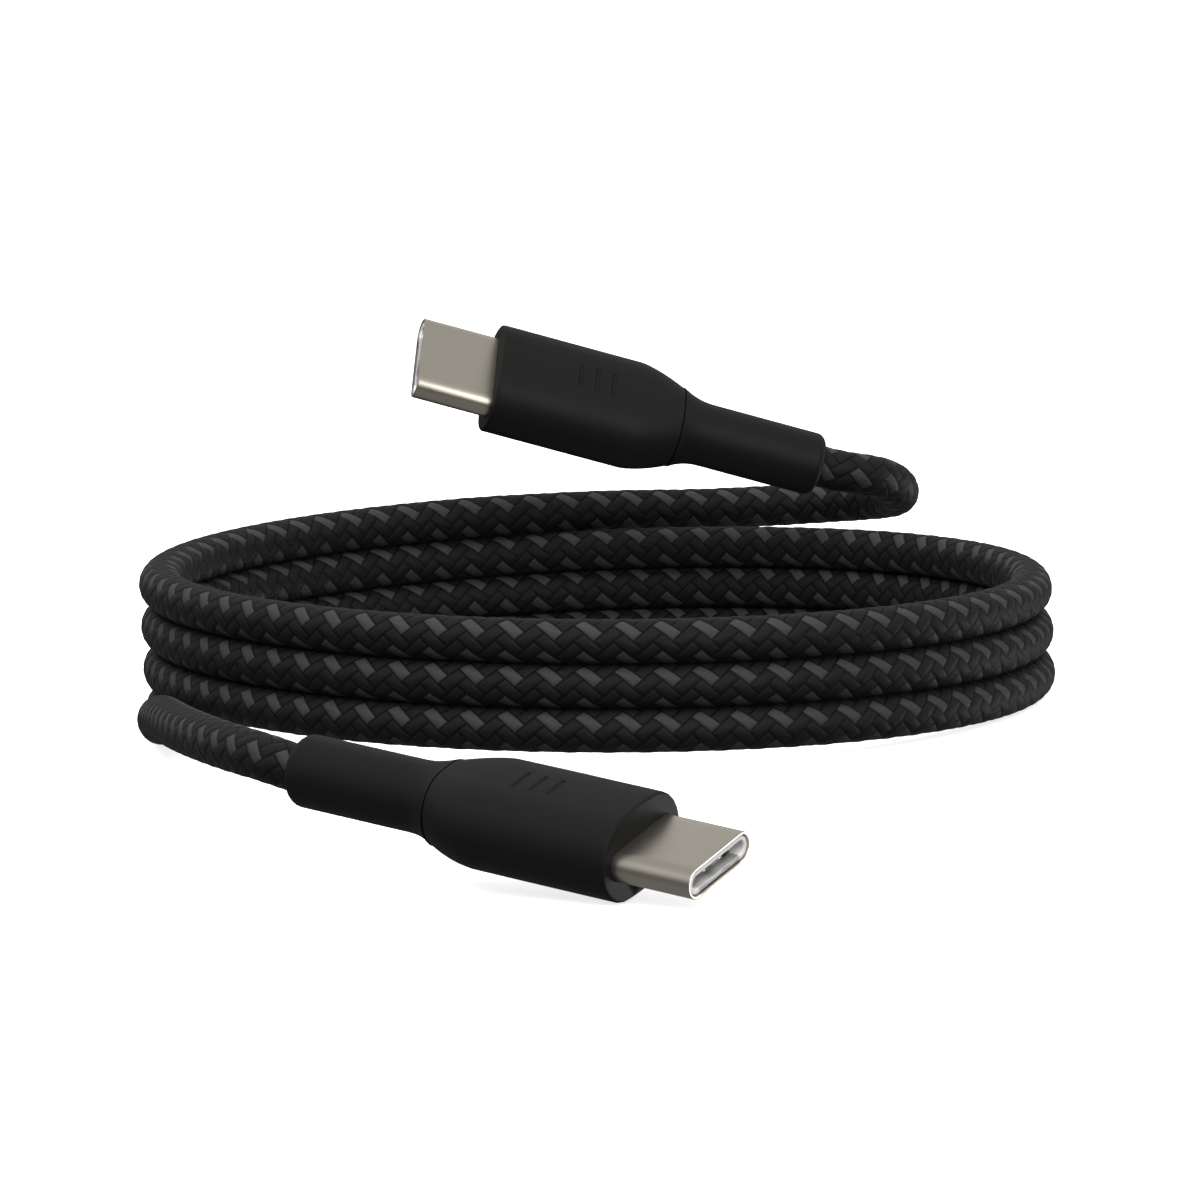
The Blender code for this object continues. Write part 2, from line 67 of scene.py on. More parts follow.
# The leads' points, from the coil's centre: A runs from its plug to the coil, B from the coil
LEAD_A_ROUTE = (
    (-22.22, -80.1, 8.11),
    (-24.46, -77.98, 8.58),
    (-26.5, -74.74, 8.78),
    (-28.35, -70.49, 8.75),
    (-30.02, -65.28, 8.57),
    (-31.48, -59.23, 8.22),
    (-32.75, -52.4, 7.71),
    (-33.84, -44.89, 7.06),
    (-34.73, -36.77, 6.14),
    (-35.42, -28.14, 4.85),
    (-35.91, -19.09, 3.3),
    (-36.21, -9.67, 2.0),
    (-36.3, 0.0, 1.77),
)
LEAD_B_ROUTE = (
    (-11.52, 34.42, 12.39),
    (-4.38, 36.78, 12.24),
    (2.7, 39.2, 11.92),
    (9.78, 41.52, 11.45),
    (13.97, 43.01, 11.27),
    (17.6, 44.04, 11.17),
    (21.79, 43.94, 11.27),
    (25.42, 41.06, 11.73),
    (27.0, 35.94, 12.85),
    (25.23, 30.72, 14.8),
    (21.3, 28.2, 15.95),
    (19.77, 27.93, 16.43),
)
LEAD_A_END_HEADING = (0, 1, 0)
LEAD_B_START_HEADING = (0.949, 0.316, 0.0)
ROUTE_STEP = 0.3

# Stations along a plug, from the cord's exit
SLEEVE_RINGS = (3.0, 6.0, 9.0)
RELIEF_LENGTH = 13.0
HOUSING_START = 13.3
GROOVE_STARTS = (19.6, 21.1, 22.6)
HOUSING_FACE = 30.0
HOLLOW_FRONT = HOUSING_FACE - 1.6
MOUTH_REAR = HOUSING_FACE - 1.2
SHELL_TAIL = 26.0
NOSE = 36.65
BLOCK_REAR = HOUSING_FACE - 2.4
BLOCK_FRONT = NOSE - 0.1
RIM_BACK = NOSE - 0.7
PLATE_MIDDLE = NOSE - 3.2
BUMP_MIDDLE = NOSE - 1.6
FINGER_FROM = NOSE - 2.2
FINGER_TO = NOSE - 1.0

# The body's sections behind its face, its shoulder down to the neck, its walls and bores.
# The neck's section is a share of the way from the body's section to the sleeve's.
FACE_STEPS = (0.5, 1.0, 2.0, 3.5, 5.0, 6.5)
BODY_REAR = GROOVE_STARTS[0] - 1.0
NECK_SHARE = 0.6
SHOULDER_BEND = 1.5
SHOULDER_STEPS = 14
HOUSING_WALL = 0.9
HOLLOW_LEAD = 1.2
SHELL_FIT = 0.1
SEAM_GAP = 0.1
SEAM_EDGE = 0.05

# The grooves of the top mark; each press is an inset's width and its share of the depth
GROOVE_WIDTH = 0.55
GROOVE_HALF = 1.3
GROOVE_PRESSES = ((0.05, 0.0), (0.05, 0.3), (0.05, 0.5), (0.04, 0.2))
TOP_FACE_SHARE = 0.45

# The sleeve's flare and bore, and the collar that reaches into the body
FLARE_BEND = 2.4
FLARE_STEPS = 12
BORE_RADIUS = 1.82
MOUTH_LIP_SHARE = 0.3
COLLAR_RADIUS = 2.2
COLLAR_LENGTH = 2.0
COLLAR_EDGE = 0.15
NECK_BORE_LENGTH = 1.6
NECK_BORE_RADIUS = COLLAR_RADIUS + 0.2
NECK_BORE_FLAT = 0.01

# The shell's lip: its outer rounding as a share of the wall, then how far behind the nose
# each ring of its inner side is and how much wider than the bore
LIP_SHARE = 0.35
INNER_LIP = ((0.0, 0.12), (0.03, 0.04), (0.10, 0.0))
FLAT_EDGE = 0.9

# The contact block, its rim, slot and finger windows, and the springs beside it
BLOCK_WIDTH = 7.4
BLOCK_THICKNESS = 1.5
BLOCK_EDGE = 0.08
RIM_WIDTH = 7.66
RIM_THICKNESS = 1.82
SLOT_WIDTH = 6.8
SLOT_THICKNESS = 1.0
FINGER_OFFSETS = (-2.1, 0.0, 2.1)
WINDOW_WIDTH = 1.1
WINDOW_REACH = 0.7 * WINDOW_WIDTH
SPRING_GAP = 0.02
PLATE_LENGTH = 4.8
PLATE_WIDTH = 5.8
PLATE_THICKNESS = 0.1
PLATE_EDGE = 0.03
BUMP_RADII = (0.42, 0.4, 0.30)
BUMP_SINK = 0.02

# Braid: strands each way round the cord, crossings in one repeat of a float, where the floats
# of each lean start, how round a strand is, and how far crowns stand over the cord's radius
STRANDS_EACH_WAY = 8
FLOAT_REPEAT = 4
RIGHT_FLOAT_SHIFT = 1.5
LEFT_FLOAT_SHIFT = 0.5
BRAID_TURN = 0.04
STRAND_ROUNDING = 1.6
DEEPEST_DIP = -0.2
NESTING = 0.06
CORD_RINGS = 2060
CORD_SIDES = 48
CORD_SMOOTH_ANGLE = 60.0
FIBRES = 6

# Feature sizes in metres
METAL_GRAIN = 0.0006

# Soft light by the height it comes from, from straight down to straight up
AIR_LEVELS = (
    (-1.0, 0.16),
    (-0.5, 0.16),
    (-0.15, 0.09),
    (0.05, 0.11),
    (0.4, 0.48),
    (0.65, 0.58),
    (0.85, 0.38),
    (1.0, 0.38),
)

# Soft glow that plug A's lip mirrors: its direction, and the cosines where it starts and is full
GLOW_FROM = (0.863, 0.411, -0.277)
GLOW_EDGE = 0.93
GLOW_HEART = 0.98
GLOW_LEVEL = 3.0

# Lights aim at a point over the coil's centre, from offsets in metres; angles are in degrees
LIT_HEIGHT = 10.0
SUN_OFFSET = (-0.10, -0.45, 1.0)
SUN_SPREAD = 75
BOX_OFFSET = (0.47, -0.68, 0.20)
BOX_SIZE = 0.55
LOOK_AT = (COIL_CENTRE[0] + 0.304, COIL_CENTRE[1], 9.168)
CAMERA_DIP = 7.5
CAMERA_ROLL = -2.534


# Sizes and colours a user would change


def length_prop(name, text, default, low=0.0):
    return FloatProperty(
        name=name, description=text, default=default, min=low, unit="LENGTH", subtype="DISTANCE", precision=5,
    )


def colour_prop(name, text, default):
    return FloatVectorProperty(
        name=name, description=text, default=default, size=3, min=0.0, max=1.0, subtype="COLOR",
    )


class CordSizes(bpy.types.PropertyGroup):
    diameter: length_prop("Cord diameter", "Outside diameter over the braid", 0.00354, 0.001)
    braid_lay: length_prop("Braid lay", "Length of cord in which one strand goes once round", 0.0120, 0.004)
    strand_relief: length_prop("Strand relief", "How far a strand's crown stands over its dip", 0.00007)


class PlugSizes(bpy.types.PropertyGroup):
    housing_width: length_prop("Housing width", "Width across the moulded body", 0.01025, 0.009)
    housing_thickness: length_prop("Housing thickness", "Thickness of the moulded body", 0.0066, 0.004)
    face_edge: length_prop("Face edge radius", "Rounding where the body meets its front face", 0.00022)
    crown: length_prop("Face crown", "How far the body's flat faces bow out", 0.00008)
    shoulder: length_prop("Shoulder length", "Length over which the body narrows to its neck", 0.0040)
    flare: length_prop("Flare length", "Length over which the sleeve widens to the body", 0.0030)
    relief_diameter: length_prop("Relief diameter", "Diameter of the strain relief's sleeve", 0.0055, 0.004)
    relief_edge: length_prop("Relief edge radius", "Rounding of the sleeve's mouth", 0.0008)
    shell_width: length_prop("Shell width", "Width across the metal shell", 0.00825, 0.007)
    shell_thickness: length_prop("Shell thickness", "Thickness of the metal shell", 0.0024, 0.002)
    shell_wall: length_prop("Shell wall", "Sheet thickness of the metal shell", 0.00025)
    groove_depth: length_prop("Groove depth", "Depth of the three grooves on the top", 0.00014)


class CableColours(bpy.types.PropertyGroup):
    dark_yarn: colour_prop("Dark yarn", "Yarn of most of the braid", (0.0085, 0.0085, 0.009))
    accent_yarn: colour_prop("Accent yarn", "Every other strand that leans one way", (0.038, 0.038, 0.039))
    plastic: colour_prop("Plug plastic", "Soft-touch plastic of bodies and reliefs", (0.0062, 0.0061, 0.0059))
    shell: colour_prop("Shell metal", "Satin nickel of the shells", (0.75, 0.70, 0.60))
    insulator: colour_prop("Insulator", "Moulded ring and block in the mouth", (0.85, 0.85, 0.84))
    contact: colour_prop("Contacts", "Gold flash on the blades", (0.83, 0.62, 0.28))
    floor: colour_prop("Floor", "Pale studio floor", (0.86, 0.86, 0.86))


class StudioSizes(bpy.types.PropertyGroup):
    floor_radius: length_prop("Floor radius", "Radius of the round floor", 40.0, 1.0)
    lens_distance: length_prop("Camera distance", "From the camera to the point it looks at", 0.6697, 0.2)
    focal_length: FloatProperty(
        name="Focal length", description="Lens of the camera in millimetres", default=240.0, min=20.0,
    )
    key_strength: FloatProperty(
        name="Key light", description="Strength of the wide overhead light", default=4.0, min=0.0,
    )
    fill_power: FloatProperty(
        name="Front box", description="Power of the box that the shells mirror", default=2.0, min=0.0,
        unit="POWER",
    )


# Shader sums


class Wire:
    """One shader socket that takes part in Python sums."""

    def __init__(self, nodes, socket):
        self.nodes = nodes
        self.socket = socket

    def math(self, operation, *values):
        return self.nodes.node("ShaderNodeMath", {"operation": operation}, values)

    def __add__(self, other):
        return self.math("ADD", self, other)

    def __sub__(self, other):
        return self.math("SUBTRACT", self, other)

    def __rsub__(self, other):
        return self.math("SUBTRACT", other, self)

    def __mul__(self, other):
        return self.math("MULTIPLY", self, other)

    def __gt__(self, other):
        return self.math("GREATER_THAN", self, other)

    def __mod__(self, other):
        return self.math("FLOORED_MODULO", self, other)

    __radd__ = __add__
    __rmul__ = __mul__

    def rounded(self):
        return self.math("ROUND", self)

    def cosine(self):
        return self.math("COSINE", self)

    def size(self):
        return self.math("ABSOLUTE", self)

    def smallest(self, other):
        return self.math("MINIMUM", self, other)

    def smooth_step(self, low, high):
        """0 below low, 1 above high and smooth between them."""
        return self.nodes.node(
            "ShaderNodeMapRange",
            {"interpolation_type": "SMOOTHSTEP"},
            {"Value": self, "From Min": low, "From Max": high},
        )


class Nodes:
    """A node tree whose nodes are added by one method."""

    def __init__(self, tree):
        self.tree = tree

    def node(self, kind, settings=None, values=(), output=0):
        """Add a node, set it up, fill its sockets, and give back one of its outputs."""
        made = self.tree.nodes.new(kind)
        for key, value in (settings or {}).items():
            if key == "stops":
                ramp = made.color_ramp.elements
                while len(ramp) < len(value):
                    ramp.new(1.0)
                for element, (place, colour) in zip(ramp, value):
                    element.position = place
                    element.color = colour
            else:
                setattr(made, key, value)
        pairs = values.items() if isinstance(values, dict) else enumerate(values)
        for key, value in pairs:
            if isinstance(value, Wire):
                self.tree.links.new(value.socket, made.inputs[key])
            elif value is not None:
                made.inputs[key].default_value = value
        return Wire(self, made.outputs[output])

    def blend(self, share, low, high, mode="MIX"):
        """A colour from low to high, by the colour sockets of a Mix node."""
        return self.node(
            "ShaderNodeMix",
            {"data_type": "RGBA", "blend_type": mode},
            {0: share, 6: low, 7: high},
            output=2,
        )


class Look(Nodes):
    """A material, with the patterns that several finishes use."""

    def __init__(self, name):
        self.material = bpy.data.materials.new(name)
        self.material.use_nodes = True
        super().__init__(self.material.node_tree)
        self.shader = self.tree.nodes["Principled BSDF"]

    def place(self):
        """Where the shaded point is, in metres."""
        return self.node("ShaderNodeTexCoord", output="Object")

    def noise(self, size, detail=2.0, roughness=0.5, at=None):
        """Noise from 0 to 1 whose features are about the given size in metres."""
        values = {"Vector": at or self.place(), "Scale": 1.0 / size}
        values.update({"Detail": detail, "Roughness": roughness})
        return self.node("ShaderNodeTexNoise", None, values)

    def speckle(self, size):
        """Distance to the nearest of many scattered points, in cells of a size in metres."""
        return self.node("ShaderNodeTexVoronoi", None, {"Vector": self.place(), "Scale": 1.0 / size})

    def bump(self, height, distance, strength=1.0):
        """A normal from a height from 0 to 1 that stands for a distance in metres."""
        values = {"Height": height, "Distance": distance, "Strength": strength}
        return self.node("ShaderNodeBump", None, values)

    def finish(self, **values):
        """Set or link the shader's own sockets, named with _ for spaces."""
        for key, value in values.items():
            socket = self.shader.inputs[key.replace("_", " ")]
            if isinstance(value, Wire):
                self.tree.links.new(value.socket, socket)
            else:
                socket.default_value = value
        return self.material


def rgba(colour, scale=1.0):
    """A shader colour, made darker or lighter by a scale."""
    return (*(min(1.0, part * scale) for part in colour), 1.0)


# Materials


def braid_look(colours, lay_share):
    """Strands woven two over, two under; lay_share is the cord's length in braid lays."""
    look = Look("braided_yarn")
    lay = look.node("ShaderNodeUVMap", {"uv_map": "braid_lay"})
    along = look.node("ShaderNodeSeparateXYZ", None, {0: lay}) * (lay_share * STRANDS_EACH_WAY)
    turn = look.node("ShaderNodeSeparateXYZ", None, {0: lay}, output=1)
    around = turn * STRANDS_EACH_WAY - BRAID_TURN * STRANDS_EACH_WAY
    right = along - around
    left = along + around
    right_strand = right.rounded()
    left_strand = left.rounded()
    right_side = right - right_strand
    left_side = left - left_strand
    right_float = (left + right_strand + RIGHT_FLOAT_SHIFT) % FLOAT_REPEAT - FLOAT_REPEAT / 2
    left_float = (right + left_strand - LEFT_FLOAT_SHIFT) % FLOAT_REPEAT - FLOAT_REPEAT / 2
    on_top = 1.0 - ((right_strand + left_strand) % FLOAT_REPEAT > 1.5)
    side = on_top * right_side + (1.0 - on_top) * left_side
    reach = on_top * right_float + (1.0 - on_top) * left_float
    edge = 0.5 - side.size()
    end = 1.0 - reach.size()
    crevice = edge.smallest(end)
    wander = look.noise(0.0012, 2.0) * 2.5
    fibre = (side * (2 * math.pi * FIBRES) + wander).cosine() * 0.5 + 0.5
    even = 1.0 - (right_strand % 2.0 > 0.5)
    accent = on_top * even
    fuzz = look.noise(0.00030, 3.0, 0.6)
    drift = look.noise(0.0035, 2.0)
    # Painted shade: the yarn's colour falls to a tenth of itself in the crevices between strands and at the
    # ends of floats, where shade would fall; the fibre lines and noise on top are the yarn's own uneven tone.
    depth = 0.10 + 0.90 * crevice.smooth_step(0.0, 0.15)
    depth = depth * (0.86 + 0.14 * fibre) * (0.75 + 0.34 * fuzz + 0.16 * drift)
    yarn = look.blend(accent, rgba(colours.dark_yarn), rgba(colours.accent_yarn))
    # tone carries the painted crevice shade together with the yarn's uneven tone, multiplied into the yarn
    # colour.
    tone = look.node("ShaderNodeCombineColor", None, {0: depth, 1: depth, 2: depth})
    colour = look.blend(1.0, yarn, tone, "MULTIPLY")
    relief = crevice.smooth_step(0.0, 0.30) * 0.6 - side * side + fibre * 0.10 + fuzz * 0.08
    roughness = 0.55 - accent * 0.04 + fuzz * 0.10
    return look.finish(
        Base_Color=colour,
        Roughness=roughness,
        Normal=look.bump(relief, 0.00009, 0.8),
        Sheen_Weight=0.02,
        Sheen_Roughness=0.4,
        Specular_IOR_Level=0.18,
    )


def jacket_look(colours):
    """The cord's end where the sleeve hides it: the same yarn without its lay."""
    look = Look("held_yarn")
    cell = look.speckle(0.0009)
    colour = look.blend(cell.smooth_step(0.1, 0.6), rgba(colours.accent_yarn, 0.5), rgba(colours.dark_yarn))
    return look.finish(Base_Color=colour, Roughness=0.6 + cell * 0.2, Normal=look.bump(cell, 0.0001))


def plastic_look(colours, name="soft_plastic", shade=1.0):
    """Soft-touch plastic with a fine moulded grain and faint cloudy wear."""
    look = Look(name)
    grain = look.speckle(0.00022)
    fine = look.noise(0.00012, 2.0)
    cloud = look.noise(0.006, 3.0)
    share = cloud * 0.6 + grain * 0.4
    colour = look.blend(share, rgba(colours.plastic, shade * 0.90), rgba(colours.plastic, shade * 1.12))
    roughness = 0.46 + cloud * 0.10 + fine * 0.06
    relief = grain * 0.5 + fine * 0.5
    return look.finish(
        Base_Color=colour,
        Roughness=roughness,
        Normal=look.bump(relief, 0.000012, 0.5),
        Specular_IOR_Level=0.24,
    )


def shell_look(colours):
    """Satin nickel, drawn along the shell, with slightly worn streaks."""
    look = Look("nickel_shell")
    lay = look.node("ShaderNodeUVMap", {"uv_map": "draw_lay"})
    stretched = look.node("ShaderNodeMapping", None, {"Vector": lay, "Scale": (3.0, 420.0, 1.0)})
    streak = look.noise(1.0, 3.0, 0.6, stretched)
    cloud = look.noise(0.0025, 3.0)
    share = streak * 0.5 + cloud * 0.5
    colour = look.blend(share, rgba(colours.shell, 0.97), rgba(colours.shell, 1.03))
    return look.finish(
        Base_Color=colour,
        Metallic=1.0,
        Roughness=0.31 + share * 0.05,
        Normal=look.bump(streak, 0.000002, 0.2),
    )


def metal_look(name, colour, roughness):
    """Sheet metal with cloudy tarnish and fine rolled grain."""
    look = Look(name)
    cloud = look.noise(METAL_GRAIN * 4, 3.0)
    grain = look.noise(METAL_GRAIN, 2.0, 0.6)
    tone = look.blend(cloud, rgba(colour, 0.85), rgba(colour, 1.05))
    return look.finish(
        Base_Color=tone,
        Metallic=1.0,
        Roughness=roughness + grain * 0.12,
        Normal=look.bump(grain, 0.000005, 0.5),
    )


def moulded_look(name, colour, roughness=0.42):
    """Hard moulded plastic with soft colour drift."""
    look = Look(name)
    cloud = look.noise(0.002, 3.0)
    fine = look.noise(0.00015, 2.0)
    tone = look.blend(cloud, rgba(colour, 0.92), rgba(colour, 1.06))
    return look.finish(
        Base_Color=tone,
        Roughness=roughness + fine * 0.14,
        Normal=look.bump(fine, 0.000008, 0.4),
    )


def board_look():
    """Green solder mask over faint copper tracks."""
    look = Look("circuit_board")
    track = look.speckle(0.0011).smooth_step(0.36, 0.42)
    cloud = look.noise(0.001, 2.0)
    tone = look.blend(track, rgba((0.015, 0.12, 0.045)), rgba((0.03, 0.22, 0.08)))
    return look.finish(
        Base_Color=tone,
        Roughness=0.30 + cloud * 0.15,
        Normal=look.bump(track, 0.00002, 0.6),
        Coat_Weight=0.4,
    )


def floor_look(colours):
    """Matt pale paper with a glow of its own, so that it stays as white as the air."""
    look = Look("pale_floor")
    cloud = look.noise(0.05, 3.0)
    tone = look.blend(cloud, rgba(colours.floor, 0.995), rgba(colours.floor, 1.005))
    return look.finish(
        Base_Color=tone, Roughness=0.9, Specular_IOR_Level=0.1,
        Emission_Color=rgba(colours.floor), Emission_Strength=0.9,
    )


# Mesh making


def add_piece(name, bm, look, slot=None, replaced=(), smooth_angle=35.0):
    """Turn a bmesh in millimetres into a piece that rides on the cable."""
    bmesh.ops.scale(bm, vec=(MM, MM, MM), verts=bm.verts)
    mesh = bpy.data.meshes.new(name)
    bm.to_mesh(mesh)
    bm.free()
    mesh.shade_smooth()
    mesh.set_sharp_from_angle(angle=math.radians(smooth_angle))
    mesh.materials.append(look)
    piece = bpy.data.objects.new(name, mesh)
    bpy.context.scene.collection.objects.link(piece)
    if slot:
        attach(piece, "root")
        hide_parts(*replaced)
    return piece


def wrapped_grid(points, uv_name, closed=True):
    """A grid wrapped round rings of points, rows by sides by 3, welded at its seams."""
    if closed:
        points = np.concatenate([points, points[:1]])
    points = np.concatenate([points, points[:, :1]], axis=1)
    rows = len(points) - 1
    sides = points.shape[1] - 1
    bm = bmesh.new()
    bm.loops.layers.uv.new(uv_name)
    bmesh.ops.create_grid(bm, x_segments=rows, y_segments=sides, size=1.0, calc_uvs=True)
    for vert in bm.verts:
        row = round((vert.co.x + 1) / 2 * rows)
        side = round((vert.co.y + 1) / 2 * sides)
        vert.co = points[row, side]
    bmesh.ops.remove_doubles(bm, verts=bm.verts, dist=1e-4)
    if not closed:
        bmesh.ops.holes_fill(bm, edges=[edge for edge in bm.edges if edge.is_boundary], sides=0)
    bmesh.ops.recalc_face_normals(bm, faces=bm.faces)
    return bm


def section_ring(arc_steps, flat_places):
    """Points of a section with two flat faces and round ends: side, cosine and sine of each."""
    ring = []
    for turn, flats in ((-90, flat_places[::-1]), (90, flat_places)):
        side = 1.0 if turn < 0 else -1.0
        for step in range(arc_steps + 1):
            angle = math.radians(turn + 180 * step / arc_steps)
            ring.append((side, math.cos(angle), math.sin(angle)))
        for place in flats:
            ring.append((-side * place, 0.0, side))
    return np.array(ring)


def section_points(ring, station):
    """Points round one section: station is x, width, thickness and the crown of its flats."""
    x, width, thickness, crown = station
    radius = thickness / 2
    reach = max(width / 2 - radius, 0.0)
    side, cosine, sine = ring.T
    bow = 1.0 + crown / radius * (1.0 - side * side)
    return np.stack([np.full(len(ring), x), side * reach + cosine * radius, sine * radius * bow], axis=1)


def sleeve(stations, arc_steps, flat_places=()):
    """A closed wall that follows a loop of stations: out one way, back the other."""
    ring = section_ring(arc_steps, flat_places)
    return wrapped_grid(np.array([section_points(ring, station) for station in stations]), "draw_lay")


def corner(x, width, thickness, radius, steps, start, end, crown=0.0):
    """Stations round an edge whose arc's centre is at x and at this section less its radius."""
    made = []
    for step in range(steps + 1):
        angle = math.radians(start + (end - start) * step / steps)
        shrink = 2 * radius * (1 - math.sin(angle))
        made.append((x + radius * math.cos(angle), width - shrink, thickness - shrink, crown))
    return made


def plug_matrix(tag):
    """From a plug's own frame to the cable's, in millimetres."""
    place, (yaw, pitch, roll) = PLUG_PLACES[tag]
    turn = Matrix.Rotation(math.radians(yaw), 4, "Z")
    turn = turn @ Matrix.Rotation(math.radians(pitch), 4, "Y")
    turn = turn @ Matrix.Rotation(math.radians(roll), 4, "X")
    return Matrix.Translation(Vector((*COIL_CENTRE, 0.0)) + Vector(place)) @ turn


def add_plug_piece(name, tag, bm, look, slot, replaced):
    """Put a plug piece in its place, standing for the CAD node it details."""
    bmesh.ops.transform(bm, matrix=plug_matrix(tag), verts=bm.verts)
    return add_piece(name + "_" + tag, bm, look, slot, [replaced + "_" + tag])


# The cord's route and mesh


def smooth_route(points, start_heading, end_heading):
    """Points along the cubic spline through a route, with set end headings."""
    places = np.array(points)
    spans = np.linalg.norm(np.diff(places, axis=0), axis=1)
    knots = np.concatenate([[0.0], np.cumsum(spans)])
    count = len(places)
    system = np.zeros((count, count))
    right = np.zeros((count, 3))
    system[0, 0] = 1.0
    system[-1, -1] = 1.0
    right[0] = start_heading
    right[-1] = end_heading
    for index in range(1, count - 1):
        before = spans[index - 1]
        after = spans[index]
        system[index, index - 1:index + 2] = (after, 2 * (before + after), before)
        rise_before = (places[index] - places[index - 1]) / before
        rise_after = (places[index + 1] - places[index]) / after
        right[index] = 3 * (after * rise_before + before * rise_after)
    slopes = np.linalg.solve(system, right)
    samples = np.linspace(0.0, knots[-1], round(knots[-1] / ROUTE_STEP) + 1)
    index = np.clip(np.searchsorted(knots, samples, side="right") - 1, 0, count - 2)
    span = spans[index][:, None]
    t = ((samples - knots[index]) / spans[index])[:, None]
    return (
        places[index] * (2 * t**3 - 3 * t**2 + 1)
        + places[index + 1] * (3 * t**2 - 2 * t**3)
        + slopes[index] * span * (t**3 - 2 * t**2 + t)
        + slopes[index + 1] * span * (t**3 - t**2)
    )


def coil_route(diameter):
    """The stacked turns, from the lowest one's left side to the top one's end."""
    start = COIL_TURNS * 2 * math.pi
    end = math.radians(TOP_TURN_END)
    steps = round(COIL_RADIUS * (start - end) / ROUTE_STEP)
    angle = np.linspace(start, end, steps + 1)
    turn = np.floor(angle / (2 * math.pi))
    share = np.clip((angle - turn * 2 * math.pi) / math.pi, 0.0, 1.0)
    level = COIL_TURNS - turn - share * share * (3 - 2 * share)
    height = diameter / 2 + diameter * level
    return np.stack([-COIL_RADIUS * np.cos(angle), -COIL_RADIUS * np.sin(angle), height], axis=1)


def cord_route(diameter):
    """Evenly spaced ring centres of the cord, from plug A's exit to plug B's, and its length."""
    heading_a = -plug_matrix("a").to_3x3().col[0]
    heading_b = plug_matrix("b").to_3x3().col[0]
    lead_a = smooth_route(LEAD_A_ROUTE, heading_a, LEAD_A_END_HEADING)
    lead_b = smooth_route(LEAD_B_ROUTE, LEAD_B_START_HEADING, heading_b)
    route = np.concatenate([lead_a[:-1], coil_route(diameter)[:-1], lead_b])
    route[:, :2] += COIL_CENTRE
    reach = np.concatenate([[0.0], np.cumsum(np.linalg.norm(np.diff(route, axis=0), axis=1))])
    wanted = np.linspace(0.0, reach[-1], CORD_RINGS + 1)
    return np.stack([np.interp(wanted, reach, route[:, axis]) for axis in range(3)], axis=1), reach[-1]


def ring_frames(centres):
    """Two directions across the cord at every ring, carried along without twist."""
    headings = np.gradient(centres, axis=0)
    headings /= np.linalg.norm(headings, axis=1)[:, None]
    out = np.zeros_like(centres)
    out[0] = np.cross(headings[0], (0.0, 0.0, 1.0))
    out[0] /= np.linalg.norm(out[0])
    for index in range(1, len(centres)):
        kept = out[index - 1] - headings[index] * (out[index - 1] @ headings[index])
        out[index] = kept / np.linalg.norm(kept)
    return out, np.cross(headings, out)


def strand_height(along, around):
    """Height of the braid from 0 to 1 at strand counts along and round the cord."""
    right = along - around
    left = along + around
    right_strand = np.round(right)
    left_strand = np.round(left)
    right_float = (left + right_strand + RIGHT_FLOAT_SHIFT) % FLOAT_REPEAT - FLOAT_REPEAT / 2
    left_float = (right + left_strand - LEFT_FLOAT_SHIFT) % FLOAT_REPEAT - FLOAT_REPEAT / 2
    right_high = np.cos(right_float * math.pi / 2) - STRAND_ROUNDING * (right - right_strand) ** 2
    left_high = np.cos(left_float * math.pi / 2) - STRAND_ROUNDING * (left - left_strand) ** 2
    return np.clip(np.maximum(right_high, left_high), DEEPEST_DIP, 1.0)


def cord_mesh(sizes):
    """The braided cord as one tube; gives the bmesh, its ring centres and its length."""
    diameter = sizes.diameter / MM
    centres, length = cord_route(diameter)
    out, up = ring_frames(centres)
    share = np.linspace(0.0, 1.0, CORD_RINGS + 1)[:, None]
    side = (np.arange(CORD_SIDES) / CORD_SIDES)[None, :]
    along = share * (length / (sizes.braid_lay / MM) * STRANDS_EACH_WAY)
    height = strand_height(along, (side - BRAID_TURN) * STRANDS_EACH_WAY)
    radius = diameter / 2 + NESTING - sizes.strand_relief / MM * (1.0 - height)
    angle = side * 2 * math.pi
    across = out[:, None] * (radius * np.cos(angle))[..., None]
    across += up[:, None] * (radius * np.sin(angle))[..., None]
    return wrapped_grid(centres[:, None] + across, "braid_lay", closed=False), centres, length


# Plug pieces


